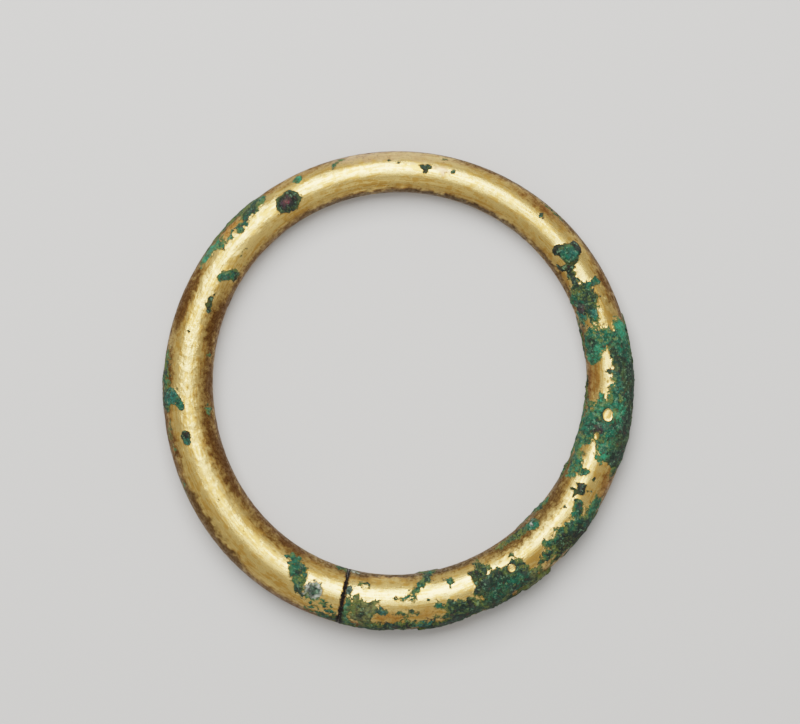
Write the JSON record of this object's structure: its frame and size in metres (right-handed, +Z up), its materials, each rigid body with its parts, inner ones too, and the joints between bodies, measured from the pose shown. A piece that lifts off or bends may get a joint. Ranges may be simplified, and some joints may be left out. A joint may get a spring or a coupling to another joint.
{
  "type": "bangle",
  "caption": "Open-jointed bangle: a stout round bar bent into a ring until its ends meet, gilt bronze with patchy green corrosion.",
  "frame": {"origin": "middle of the ring's outermost points, on the plane that the bangle lies on", "axes": "+Z up through the ring's opening, -Y through the joint between the bar's two ends"},
  "size_m": [0.0794, 0.0812, 0.0094],
  "materials": {
    "gilt_bronze": "worn fire gilding on bronze, softly burnished, dented on one side, with patches of green and black corrosion crust"
  },
  "bodies": {
    "root": {"bangle": "gilt_bronze"}
  },
  "joints": []
}
